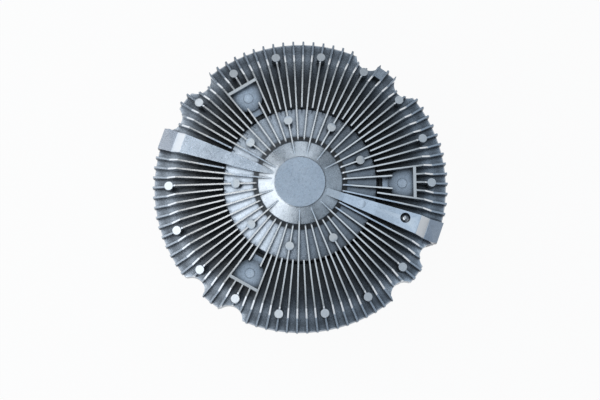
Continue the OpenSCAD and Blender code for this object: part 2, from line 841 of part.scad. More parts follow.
module pump_wipers() {
    low = web_top - web_t / 2;
    color([0.3, 0.3, 0.32]) on_joint() at_ribs() intersection() {
        ring(rotor_r + wiper_gap, chamber_r - seat_gap, low, inner_h);
        rotate(wiper_shift_a) wedge_cut(wiper_a, chamber_r, low - eps, inner_h + eps);
    }
}

module reservoir_plate() {
    low = plate_h - plate_t;
    color([0.65, 0.66, 0.68]) on_joint() difference() {
        translate([0, 0, low]) cylinder(r = plate_r, h = plate_t);
        translate([0, 0, low - eps]) cylinder(r = armature_d / 2 + armature_gap, h = plate_t + 2 * eps);
        translate([0, port_r, low - eps]) cylinder(d = port_d, h = plate_t + 2 * eps);
        at_rivets() translate([0, 0, low - eps]) cylinder(d = rivet_d, h = plate_t + 2 * eps);
    }
}

module plate_snap_ring() {
    top = plate_h - plate_t;
    outer = plate_bore_r + snap_depth - 2 * seat_gap;
    color([0.45, 0.46, 0.48]) on_joint() open_ring(outer - snap_w, outer, top - snap_t, top);
}

rivet_d = 3;
rivet_head_d = 5;
rivet_head_h = 1;
rivet_x = lever_w / 4 + 0.5;
rivet_in = 12;
base_l = 20;

module at_rivets() {
    for (x = [-rivet_x, rivet_x]) translate([x, rivet_in - pivot_r, 0]) children();
}

module valve_bracket() {
    reach = ear_x + ear_t;
    color([0.55, 0.56, 0.58]) on_joint() difference() {
        union() {
            translate([-reach, -pivot_r - ear_back, plate_h]) cube([2 * reach, base_l, base_t]);
            for (s = [-1, 1]) translate([s * (ear_x + ear_t / 2), -pivot_r, 0]) ear();
        }
        translate([0, -pivot_r, pivot_h]) rotate([0, 90, 0])
            cylinder(r = pin_d / 2 + seat_gap, h = 4 * reach, center = true);
        at_rivets() cylinder(d = rivet_d, h = plate_h + 2 * base_t);
    }
}

module ear() {
    translate([-ear_t / 2, -ear_back, plate_h]) cube([ear_t, 2 * ear_back, pivot_h - plate_h]);
    translate([0, 0, pivot_h]) rotate([0, 90, 0]) cylinder(r = ear_r, h = ear_t, center = true);
}

module bracket_rivets() {
    color([0.6, 0.6, 0.6]) on_joint() at_rivets() {
        translate([0, 0, plate_h - plate_t]) cylinder(r = rivet_d / 2 - seat_gap, h = plate_t + base_t + eps);
        translate([0, 0, plate_h + base_t]) cylinder(d = rivet_head_d, h = rivet_head_h);
    }
}

module valve_pin() {
    color([0.75, 0.75, 0.77]) on_joint() translate([0, -pivot_r, pivot_h]) rotate([0, 90, 0])
        cylinder(d = pin_d, h = 2 * (ear_x + ear_t) + 2, center = true);
}

spring_w = 2.4;
spring_leg = 0.8;
spring_x = ear_x - side_gap - spring_w;
spring_arm = 7;

module valve_spring() {
    coil_in = pin_d / 2 + run_gap;
    coil_out = coil_in + spring_leg;
    color([0.4, 0.4, 0.42]) on_joint() translate([side_gap - ear_x, -pivot_r, pivot_h]) {
        rotate([0, 90, 0]) ring(coil_in, coil_out, 0, spring_w);
        translate([0, 0, -coil_out]) cube([spring_leg, spring_arm, spring_leg]);
        translate([spring_w - spring_leg, -coil_out, plate_h + base_t - pivot_h])
            cube([spring_leg, spring_leg, pivot_h - plate_h - base_t]);
    }
}

module valve_lever() {
    barrel_low = side_gap - spring_x;
    barrel_l = ear_x - side_gap - barrel_low;
    color([0.58, 0.6, 0.63]) on_joint() difference() {
        union() {
            translate([-lever_w / 2, lever_start - pivot_r, lever_low])
                cube([lever_w, pivot_r - lever_start + lever_end, lever_t]);
            translate([barrel_low, -pivot_r, lever_low]) cube([barrel_l, lever_tail, lever_t]);
            translate([barrel_low, -pivot_r, pivot_h]) rotate([0, 90, 0])
                cylinder(r = barrel_r, h = barrel_l);
        }
        translate([0, -pivot_r, pivot_h]) rotate([0, 90, 0])
            cylinder(r = pin_d / 2 + run_gap / 2, h = 3 * lever_w, center = true);
    }
}

module valve_armature() {
    color([0.5, 0.5, 0.52]) on_joint() {
        translate([0, 0, armature_h]) cylinder(d = armature_d, h = armature_t);
        translate([0, 0, armature_h]) cylinder(d = stem_d, h = lever_low - armature_h);
    }
}

module valve_pad() {
    color([0.15, 0.15, 0.16]) on_joint() translate([0, port_r, lever_low - valve_pad_t])
        cylinder(d = valve_pad_d, h = valve_pad_t);
}

shaft_outline = [
    [0, pilot_depth],
    [pilot_d / 2, pilot_depth],
    [pilot_d / 2, 0],
    [flange_d / 2 - edge_c, 0],
    [flange_d / 2, edge_c],
    [flange_d / 2, flange_t - edge_c],
    [flange_d / 2 - edge_c, flange_t],
    [neck_d / 2 + neck_c, flange_t],
    [neck_d / 2, flange_t + neck_c],
    [neck_d / 2, mag_z - shoulder_l],
    [mag_bore / 2 + shoulder_t, mag_z - shoulder_l],
    [mag_bore / 2 + shoulder_t, mag_z],
    [mag_bore / 2, mag_z],
    [mag_bore / 2, main_z],
    [main_bore / 2, main_z],
    [main_bore / 2, rotor_z],
    [rotor_seat_d / 2, rotor_z],
    [rotor_seat_d / 2, joint_z - eps],
    [shaft_end_d / 2, joint_z - eps],
    [shaft_end_d / 2, joint_z + shaft_end_h - edge_c],
    [shaft_end_d / 2 - edge_c, joint_z + shaft_end_h],
    [0, joint_z + shaft_end_h]];

flange_hole_count = 4;
mag_clip_z = mag_z + mag_w;
mag_clip_depth = 1.3;
mag_clip_out = 2.6;

module flanged_shaft() {
    color([0.5, 0.5, 0.52]) difference() {
        rotate_extrude() polygon(shaft_outline);
        around(flange_hole_count, 45) translate([flange_pcd / 2, 0, -eps])
            cylinder(d = flange_hole_d, h = flange_t + 2 * eps);
        ring(mag_bore / 2 - mag_clip_depth, mag_bore / 2 + eps, mag_clip_z, mag_clip_z + clip_t);
    }
}

module rotor_disc() {
    color([0.76, 0.77, 0.79]) on_joint() difference() {
        union() {
            ring(rotor_seat_d / 2 + seat_gap, rotor_hub_d / 2, -rotor_hub_l, 0);
            ring(rotor_hub_d / 2 - eps, rotor_r, web_low, web_top);
            ridges(0, web_top - eps, inner_h - tip_gap);
            ridges(0, rear_in + tip_gap, web_low + eps);
        }
        around(oil_hole_count) translate([oil_hole_pcd / 2, 0, web_low - eps])
            cylinder(d = oil_hole_d, h = web_t + 2 * eps);
    }
}

module rotor_nut() {
    color([0.55, 0.55, 0.54]) on_joint() difference() {
        cylinder(d = nut_af / cos(30), h = nut_h, $fn = 6);
        translate([0, 0, -eps]) cylinder(r = shaft_end_d / 2 + seat_gap, h = nut_h + 2 * eps);
    }
}

// Section of a ball race: a ring with a round groove for each row of balls
module race(r_in, r_out, w, pitch_r, ball_d, rows) {
    groove_r = ball_d / 2 + run_gap;
    difference() {
        ring(r_in, r_out, 0, w);
        for (z = rows) rotate_extrude() translate([pitch_r, z]) circle(r = groove_r);
    }
}

main_rows = [(main_w - main_row_gap) / 2, (main_w + main_row_gap) / 2];
mag_rows = [mag_w / 2];
main_inner_r = main_pitch_r - ring_share * main_ball_d;
main_outer_r = main_pitch_r + ring_share * main_ball_d;
mag_inner_r = mag_pitch_r - ring_share * mag_ball_d;
mag_outer_r = mag_pitch_r + ring_share * mag_ball_d;

module balls(rows, pitch_r, d, n) {
    for (k = [0:len(rows) - 1]) around(n, k * 180 / n) translate([pitch_r, 0, rows[k]]) sphere(d = d);
}

// A cage is a thin ring with a round window for each ball
module cage(rows, pitch_r, d, n, z0, z1) {
    half = 0.14 * d;
    difference() {
        ring(pitch_r - half, pitch_r + half, z0, z1);
        for (k = [0:len(rows) - 1]) around(n, k * 180 / n)
            translate([pitch_r - d / 2, 0, rows[k]]) rotate([0, 90, 0]) cylinder(r = d / 2 + run_gap, h = d);
    }
}

module main_inner_ring() {
    color([0.7, 0.71, 0.73]) translate([0, 0, main_z])
        race(main_bore / 2 + seat_gap, main_inner_r, main_w, main_pitch_r, main_ball_d, main_rows);
}

module main_outer_ring() {
    color([0.7, 0.71, 0.73]) translate([0, 0, main_z])
        race(main_outer_r, main_od / 2, main_w, main_pitch_r, main_ball_d, main_rows);
}

seal_ring_t = 1;
seal_ring_in = 0.3;
cage_gap = 0.6;

module main_seals() {
    inner = main_inner_r + seal_gap;
    outer = main_outer_r - seat_gap;
    color([0.14, 0.14, 0.15]) translate([0, 0, main_z]) {
        ring(inner, outer, seal_ring_in, seal_ring_in + seal_ring_t);
        ring(inner, outer, main_w - seal_ring_in - seal_ring_t, main_w - seal_ring_in);
    }
}

module main_circlip() {
    outer = main_od / 2 + hub_clip_depth - 2 * seat_gap;
    color([0.4, 0.41, 0.43]) on_joint() open_ring(outer - hub_clip_w, outer, main_top, main_top + hub_clip_t);
}

module main_balls() {
    color([0.78, 0.79, 0.8]) translate([0, 0, main_z])
        balls(main_rows, main_pitch_r, main_ball_d, main_ball_count);
}

module main_cage() {
    edge = seal_ring_in + seal_ring_t + cage_gap;
    color([0.66, 0.56, 0.32]) translate([0, 0, main_z])
        cage(main_rows, main_pitch_r, main_ball_d, main_ball_count, edge, main_w - edge);
}

module magnet_inner_ring() {
    color([0.7, 0.71, 0.73]) translate([0, 0, mag_z])
        race(mag_bore / 2 + seat_gap, mag_inner_r, mag_w, mag_pitch_r, mag_ball_d, mag_rows);
}

module magnet_outer_ring() {
    color([0.7, 0.71, 0.73]) translate([0, 0, mag_z])
        race(mag_outer_r, mag_od / 2, mag_w, mag_pitch_r, mag_ball_d, mag_rows);
}

module magnet_balls() {
    color([0.78, 0.79, 0.8]) translate([0, 0, mag_z])
        balls(mag_rows, mag_pitch_r, mag_ball_d, mag_ball_count);
}

module magnet_cage() {
    edge = 1.6;
    color([0.66, 0.56, 0.32]) translate([0, 0, mag_z])
        cage(mag_rows, mag_pitch_r, mag_ball_d, mag_ball_count, edge, mag_w - edge);
}

module magnet_circlip() {
    inner = mag_bore / 2 - mag_clip_depth + 2 * seat_gap;
    color([0.4, 0.41, 0.43]) open_ring(inner, mag_bore / 2 + mag_clip_out, mag_clip_z, mag_clip_z + clip_t);
}

module speed_ring() {
    inner = hub_d / 2 + seat_gap;
    slot_w = 0.5 * PI * tooth_ring_d / tooth_count;
    tooth_h = 3;
    color([0.5, 0.5, 0.51]) on_joint() difference() {
        ring(inner, tooth_ring_d / 2, tooth_low, tooth_low + tooth_l);
        around(tooth_count) translate([tooth_ring_d / 2 - tooth_h, -slot_w / 2, tooth_low - eps])
            cube([2 * tooth_h, slot_w, tooth_l - 2 + eps]);
    }
}

sleeve_r = mag_od / 2 + seat_gap;
case_back = 3.5;
case_l = sol_l - front_ring_t;
bob_t = 1.3;
coil_gap = 0.1;
gland_nut_h = 3;
lip_w = 1.6;
lip_h = 1.4;

module solenoid_case() {
    color([0.36, 0.37, 0.39]) translate([0, 0, sol_z]) difference() {
        union() {
            ring(sleeve_r, case_r, 0, case_back);
            ring(sleeve_r, sleeve_r + sleeve_t, 0, case_l);
            ring(case_r - case_wall, case_r, 0, case_l);
            ring(sleeve_r - lip_w, sleeve_r + sleeve_t, -lip_h, 0);
        }
        at_bracket_screws() translate([0, 0, -eps])
            cylinder(r = bracket_screw_d / 2 + seat_gap, h = bracket_screw_in + eps);
    }
}

bob_in = sleeve_r + sleeve_t + seat_gap;
bob_out = case_r - case_wall - seat_gap;

module solenoid_bobbin() {
    top = case_l - coil_gap;
    color([0.2, 0.22, 0.2]) translate([0, 0, sol_z]) {
        ring(bob_in, bob_in + bob_t, case_back, top);
        ring(bob_in, bob_out, case_back, case_back + bob_t);
        ring(bob_in, bob_out, top - bob_t, top);
    }
}

module solenoid_winding() {
    low = case_back + bob_t;
    top = case_l - coil_gap - bob_t;
    color([0.65, 0.35, 0.2]) translate([0, 0, sol_z])
        ring(bob_in + bob_t + seat_gap, bob_out - 0.5, low, top);
}

skirt_low = 5;

module solenoid_cover() {
    outer = case_r + skirt_t;
    color([0.09, 0.09, 0.1]) translate([0, 0, sol_z]) difference() {
        union() {
            ring(sleeve_r + 0.5, outer, case_l, sol_l);
            ring(case_r + seat_gap, outer, skirt_low, sol_l);
        }
        rotate(gland_a) translate([case_r - 1, 0, gland_h]) rotate([0, 90, 0])
            cylinder(d = cable_d, h = 2 * skirt_t);
    }
}

gland_h = skirt_low + gland_d / 2 + 1.5;

module cable_gland() {
    start = case_r + skirt_t - 1;
    color([0.11, 0.11, 0.12]) translate([0, 0, sol_z]) rotate(gland_a) difference() {
        translate([start, 0, gland_h]) rotate([0, 90, 0]) union() {
            cylinder(d = gland_d, h = gland_l + 1);
            translate([0, 0, gland_nut_h]) cylinder(d = gland_d + gland_nut_h, h = gland_nut_h, $fn = 6);
        }
        translate([0, 0, -eps]) cylinder(r = case_r + skirt_t + seat_gap, h = sol_l + 2 * eps);
        translate([start - eps, 0, gland_h]) rotate([0, 90, 0]) cylinder(d = cable_d, h = 2 * gland_l);
    }
}

module speed_sensor() {
    foot = case_r + skirt_t;
    ring_gap_r = tooth_ring_d / 2 + sensor_gap;
    back_r = max(foot, ring_gap_r + sensor_tip_l);
    foot_low = sol_z + sensor_up;
    tip_low = sol_top + eps;
    tip_top = joint_z + tooth_low + tooth_l;
    color([0.1, 0.1, 0.11]) difference() {
        union() {
            translate([foot - 1, -sensor_w / 2, foot_low])
                cube([back_r + sensor_t - foot + 1, sensor_w, tip_top - foot_low]);
            translate([ring_gap_r, -sensor_w / 2, tip_low])
                cube([back_r - ring_gap_r, sensor_w, tip_top - tip_low]);
        }
        translate([0, 0, sol_z]) cylinder(r = foot + seat_gap, h = sol_l + 0.4);
        translate([0, 0, sol_top]) cylinder(r = ring_gap_r, h = tip_top - sol_top + eps);
    }
}

bracket_screw_d = 4;
bracket_hole_y = (mag_od / 2 + case_r) / 2;
bracket_screw_in = 3;
bracket_in = mag_od / 2 + 4;
bracket_z = sol_z - bracket_t;

module at_bracket_screws() {
    for (s = [-1, 1]) translate([s * bracket_w / 4, bracket_hole_y, 0]) children();
}

module torque_bracket() {
    slot_w = 9;
    slot_l = 16;
    color([0.45, 0.46, 0.47]) difference() {
        translate([-bracket_w / 2, bracket_in, bracket_z])
            cube([bracket_w, bracket_r - bracket_in, bracket_t]);
        translate([-slot_w / 2, bracket_r - slot_l, bracket_z - eps])
            cube([slot_w, slot_l + eps, bracket_t + 2 * eps]);
        at_bracket_screws() translate([0, 0, bracket_z - eps])
            cylinder(r = bracket_screw_d / 2 + screw_gap, h = bracket_t + 2 * eps);
    }
}

module bracket_screws() {
    head_d = 7;
    head_h = 2.6;
    color([0.6, 0.6, 0.58]) at_bracket_screws() translate([0, 0, bracket_z]) difference() {
        union() {
            translate([0, 0, -head_h]) cylinder(d = head_d, h = head_h);
            cylinder(d = bracket_screw_d, h = bracket_t + bracket_screw_in);
        }
        translate([0, 0, -head_h - eps]) cylinder(d = 3, h = 1.2 + eps, $fn = 6);
    }
}

front_cover();
rear_housing();
cover_seal();
cover_screws();
channel_plugs();
fill_balls();
pump_wipers();
reservoir_plate();
plate_snap_ring();
valve_bracket();
bracket_rivets();
valve_pin();
valve_spring();
main_outer_ring();
main_seals();
main_circlip();
speed_ring();
valve_lever();
valve_armature();
valve_pad();
flanged_shaft();
rotor_disc();
rotor_nut();
main_inner_ring();
magnet_inner_ring();
magnet_circlip();
main_balls();
main_cage();
solenoid_case();
solenoid_bobbin();
solenoid_winding();
solenoid_cover();
speed_sensor();
cable_gland();
torque_bracket();
bracket_screws();
magnet_outer_ring();
magnet_balls();
magnet_cage();
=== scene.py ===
import json
import math

import bpy
from mathutils import Matrix, Vector


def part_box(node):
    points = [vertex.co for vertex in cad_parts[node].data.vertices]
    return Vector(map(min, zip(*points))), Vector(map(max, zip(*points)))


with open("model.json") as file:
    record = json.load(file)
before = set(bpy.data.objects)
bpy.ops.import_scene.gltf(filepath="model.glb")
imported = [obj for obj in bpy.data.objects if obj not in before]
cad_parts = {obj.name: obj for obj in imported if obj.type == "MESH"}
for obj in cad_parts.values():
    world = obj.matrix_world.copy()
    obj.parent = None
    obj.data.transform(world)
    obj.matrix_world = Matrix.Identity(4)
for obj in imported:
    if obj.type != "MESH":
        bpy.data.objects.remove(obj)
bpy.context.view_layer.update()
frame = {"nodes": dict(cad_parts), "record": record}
nodes = frame["nodes"]

MM = 0.001


def mm(*sizes):
    """Millimetres as metres."""
    return tuple(size * MM for size in sizes)


# Camera, in metres, degrees and pixels of the picture
IMAGE_W = 600
IMAGE_CENTRE_PX = (300, 200)
RIM_RADIUS = 140 * MM            # over the fin ends
RIM_RADIUS_PX = 146.4            # the same in the picture
RIM_CENTRE_PX = (300.2, 187.6)   # where the middle of the rim lies in the picture
RIM_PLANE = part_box("rear_housing")[1].z + 1.2 * MM   # height of the rim's circle
CAMERA_ELEVATION = 81.4
CAMERA_ROLL = 0.75
CAMERA_DISTANCE = 1.6
CAMERA_RANGE = 50
SENSOR = 36.0

# Lines across the front cover, each point as (radius, height)
JOINT_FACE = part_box("rear_housing")[1].z
FIN_START = (24.5 * MM, JOINT_FACE + 35.2 * MM)
FACET_HIGH = (118 * MM, JOINT_FACE + 25 * MM)     # where the fin tips end and the turned facet starts
FACET_LOW = (126.5 * MM, JOINT_FACE + 16 * MM)
FIN_END = (RIM_RADIUS, JOINT_FACE + 14.4 * MM)
PAD_RADIUS = 124.2 * MM          # of the ring of outer pads
PAD_REACH = 4.2 * MM
PAD_TOP = JOINT_FACE + 22.5 * MM
PAD_DROP = PAD_REACH * math.tan(math.radians(12))
PAD_IN = (PAD_RADIUS - PAD_REACH, PAD_TOP + PAD_DROP)
PAD_OUT = (PAD_RADIUS + PAD_REACH, PAD_TOP - PAD_DROP)

# Heights on the front cover
FOOT_TOP = JOINT_FACE + 32.3 * MM
INNER_PAD_TOP = JOINT_FACE + 31.66 * MM
POCKET_PAD = JOINT_FACE + 19 * MM
TONGUE_TOP = POCKET_PAD - 3 * MM
RIM_FLOOR = JOINT_FACE + 5.5 * MM

# Rings on the front cover: the radii where a ring's mask starts, is full, begins to fall and is gone
CONE_RING = mm(23.5, 24.5, 39, 40)
FOOT_RING = mm(38.9, 39.9, 43.7, 44.9)
DOME_RING = mm(43, 47, 72, 76)
INNER_PAD_RING = mm(56, 56.2, 65, 65.2)
TONGUE_RING = mm(73.5, 74.5, 90, 91)
FACET_RING = (FACET_HIGH[0] - 0.2 * MM, FACET_HIGH[0], FACET_LOW[0], FACET_LOW[0] + 0.2 * MM)
PAD_RING = (PAD_IN[0], PAD_IN[0] + 0.21 * MM, PAD_OUT[0], PAD_OUT[0] + 0.21 * MM)

# Edges between two parts of the front cover: where the change starts and ends
PAST_CONE = mm(36, 39)
PAST_POCKETS = mm(108, 109)
PAST_FIN_TIPS = mm(117, 118)
PAST_NOTCH_WALL = mm(126, 127)
PAST_FACET = mm(126.5, 127)
PAST_FACET_ON_RIB = mm(126.5, 127.5)
PAST_FIN_ENDS = mm(137, 138)
FOOT_EDGE = (FOOT_TOP - 0.6 * MM, FOOT_TOP)
RIM_FLOOR_EDGE = (RIM_FLOOR, RIM_FLOOR + 0.5 * MM)
JOINT_EDGE = (JOINT_FACE - 0.6 * MM, JOINT_FACE - 0.3 * MM)
RIB_ANGLE = 160                  # where the first of the two broad ribs lies
RIB_SIDE = mm(13, 13.5)

# How far from its line or height a mask is full, and where it is gone
TIP_FADE = mm(0.5, 0.9)
FACET_FADE = mm(0.25, 0.45)
PAD_FADE = mm(0.3, 0.5)
INNER_PAD_FADE = mm(0.3, 0.45)
LEVEL_FADE = mm(0.6, 0.9)

# How far a face looks up, from 0 on a wall to 1 on a level face: where a mask's change starts and ends
LOOKS_UP = (0.7, 0.9)
LIES_LEVEL = (0.996, 0.999)
STANDS_UPRIGHT = (0.5, 0.85)

# Painted shade that grows towards one side, and offsets to the painted shade between the fins: from where,
# to where, and the share at each end
DOME_SHADE_SPAN = (-20 * MM, 45 * MM, 0.0, 0.66)            # from left to right
POCKET_SHADE_SPAN = (-40 * MM, 60 * MM, 0.0, 1.0)
INNER_PAD_SHADE_SPAN = (-30 * MM, 57 * MM, 0.07, 0.39)
CONE_SHADE_SPAN = (8 * MM, 28 * MM, 0.0, 0.16)
FAR_RIB_SHADE_SPAN = (0.0, 60 * MM, 0.0, 0.19)
BACK_PAD_SHADE_SPAN = (82 * MM, 107 * MM, 0.0, 0.29)         # from front to back
FLOOR_LIGHTER = (92 * MM, 124 * MM, -0.1, 0.28)       # by the radius
FLOOR_DARKER = (124 * MM, 132 * MM, 0.0, -0.23)
DOME_LIGHTER = 0.51
TONGUE_LIGHTER = 0.45
BARE_METAL = (0.3, 0.7)          # how open a place is where the skin ends and bare metal shows

# Colours of the casting; a name with DULL is a tint that darkens the colour below it, and so are the
# painted shade tints for the dome and the pockets
CAST_DARK = (0.62, 0.685, 0.77)
CAST_LIGHT = (0.74, 0.80, 0.88)
# The next two: painted shade deep between the fins, darkest where the grooves are deepest
DEEP_GROOVE_SHADE = (0.035, 0.043, 0.05)
GROOVE_SHADE = (0.30, 0.315, 0.33)
# Painted highlight on the sharp edges
EDGE_HIGHLIGHT = (0.90, 0.92, 0.94)
NOSE_DULL = 0.84
CONE_BRIGHT = (1.14, 1.1, 1.05)
# Painted shade in the ring at the cone's foot
FOOT_SHADE = (0.07, 0.075, 0.08)
# Painted shade on the dome's right-hand side
DOME_SHADE_TINT = 0.2
# Painted shade on the pocket floors' right-hand side
POCKET_SHADE_TINT = 0.8
RIB_END_DULL = (0.58, 0.58, 0.6)
FIN_END_DULL = 0.6
# The next two: painted highlight along the fin tips, bright near the dome and weaker towards the rim
TIP_HIGHLIGHT_IN = (0.88, 0.86, 0.84)
TIP_HIGHLIGHT_OUT = (0.54, 0.53, 0.52)
TIP_CHANGE = mm(80, 116)         # radii where the tips have these two colours
OUTSIDE_DULL = 0.6
# Painted highlight on the tops of the outer pads
PAD_HIGHLIGHT = (0.86, 0.88, 0.90)
# Painted highlight on the turned facet round the fin ends
FACET_HIGHLIGHT = (0.80, 0.84, 0.88)
BLACK = 0.0

# Roughness of the casting
CAST_SMOOTH = 0.23
CAST_ROUGH = 0.32
OUTSIDE_ROUGHER = 0.2
PAD_ROUGH = 0.42
FACET_ROUGH = 0.34

# Light
CEILING_LIGHT = 0.17
CEILING_TINT = (0.74, 0.87, 1.0)
WALL_TINT = (0.92, 0.95, 1.0)
WINDOW_TINT = (0.93, 0.97, 1.0)
LAMP_TINT = (0.86, 0.93, 1.0)
FRONT_TINT = (0.80, 0.90, 1.0)
WALL_LIGHT = [(0.0, 1.95), (0.5, 0.32), (1.0, 0.45)]  # from the left wall to the right one
FRONT_LIGHT = 0.3                # how much brighter the wall nearest the camera is
WALL_FALL = [(0.0, 1.0), (0.3, 0.8), (0.55, 0.0)]     # by the height of a ray
FLOOR_SIZE = 30
FLOOR_GLOW = 0.94                # share of the floor's look that is plain white


def rgba(value):
    """A grey number or a colour of three, with full alpha."""
    return (*value, 1.0) if isinstance(value, tuple) else (value, value, value, 1.0)


class Tree:
    """A node tree, with short calls for the nodes that the materials and the world share."""

    def __init__(self, tree):
        self.nodes = tree.nodes
        self.links = tree.links

    def add(self, kind, **settings):
        node = self.nodes.new(kind)
        for key, value in settings.items():
            setattr(node, key, value)
        return node

    def link(self, source, target):
        self.links.new(source, target)

    def feed(self, socket, value):
        """Link another node's socket, or set a value."""
        if isinstance(value, bpy.types.NodeSocket):
            self.link(value, socket)
        else:
            socket.default_value = value

    def split(self, vector):
        """The X, Y and Z of a vector."""
        node = self.add("ShaderNodeSeparateXYZ")
        self.link(vector, node.inputs[0])
        return tuple(node.outputs)

    def ramp(self, fac, stops):
        """stops is a list of (position, colour or grey)."""
        node = self.add("ShaderNodeValToRGB")
        elements = node.color_ramp.elements
        while len(elements) < len(stops):
            elements.new(0.5)
        for element, (position, value) in zip(elements, stops):
            element.position = position
            element.color = rgba(value)
        self.link(fac, node.inputs["Fac"])
        return node.outputs["Color"]

    def mix(self, fac, a, b, blend="MIX"):
        """Two colours or greys; MULTIPLY and ADD put b on top of a by the share fac."""
        node = self.add("ShaderNodeMix", data_type="RGBA", blend_type=blend)
        self.feed(node.inputs[0], fac)
        for socket, value in ((node.inputs[6], a), (node.inputs[7], b)):
            self.feed(socket, value if isinstance(value, bpy.types.NodeSocket) else rgba(value))
        return node.outputs[2]

    def math(self, operation, a, b=0.0):
        node = self.add("ShaderNodeMath", operation=operation)
        self.feed(node.inputs[0], a)
        self.feed(node.inputs[1], b)
        return node.outputs[0]

    def product(self, first, *others):
        """Masks or numbers multiplied together."""
        for other in others:
            first = self.math("MULTIPLY", first, other)
        return first

    def total(self, first, *others):
        """Masks or numbers added up."""
        for other in others:
            first = self.math("ADD", first, other)
        return first

    def span(self, value, low, high, at_low, at_high):
        """A straight change from at_low to at_high while value goes from low to high."""
        node = self.add("ShaderNodeMapRange")
        self.link(value, node.inputs["Value"])
        ends = {"From Min": low, "From Max": high, "To Min": at_low, "To Max": at_high}
        for name, number in ends.items():
            node.inputs[name].default_value = number
        return node.outputs[0]

    def rises(self, value, start, end):
        """From 0 to 1."""
        return self.span(value, start, end, 0.0, 1.0)

    def falls(self, value, start, end):
        """From 1 to 0."""
        return self.span(value, start, end, 1.0, 0.0)


class Shader(Tree):
    """A material in the part's own coordinates."""

    def __init__(self, name):
        self.mat = bpy.data.materials.new(name)
        self.mat.use_nodes = True
        super().__init__(self.mat.node_tree)
        self.bsdf = self.nodes["Principled BSDF"]
        self.coords = self.add("ShaderNodeTexCoord").outputs["Object"]

    def mapped(self, scale=(1, 1, 1), turn=0.0):
        """The coordinates, scaled and turned about the axis."""
        node = self.add("ShaderNodeMapping")
        node.inputs["Scale"].default_value = scale
        node.inputs["Rotation"].default_value = (0, 0, math.radians(turn))
        self.link(self.coords, node.inputs["Vector"])
        return node.outputs["Vector"]

    def noise(self, size, detail=4.0, rough=0.55, vector=None):
        """Noise whose lumps are about size metres across."""
        node = self.add("ShaderNodeTexNoise")
        node.inputs["Scale"].default_value = 1.0 / size
        node.inputs["Detail"].default_value = detail
        node.inputs["Roughness"].default_value = rough
        self.link(vector or self.coords, node.inputs["Vector"])
        return node.outputs["Fac"]

    def finish(self, colour, rough, height, strength, depth):
        """Link the look: the colour, the roughness and a bump of the given depth."""
        bump = self.add("ShaderNodeBump")
        bump.inputs["Strength"].default_value = strength
        bump.inputs["Distance"].default_value = depth
        self.link(height, bump.inputs["Height"])
        self.link(bump.outputs["Normal"], self.bsdf.inputs["Normal"])
        self.link(colour, self.bsdf.inputs["Base Color"])
        self.link(rough, self.bsdf.inputs["Roughness"])


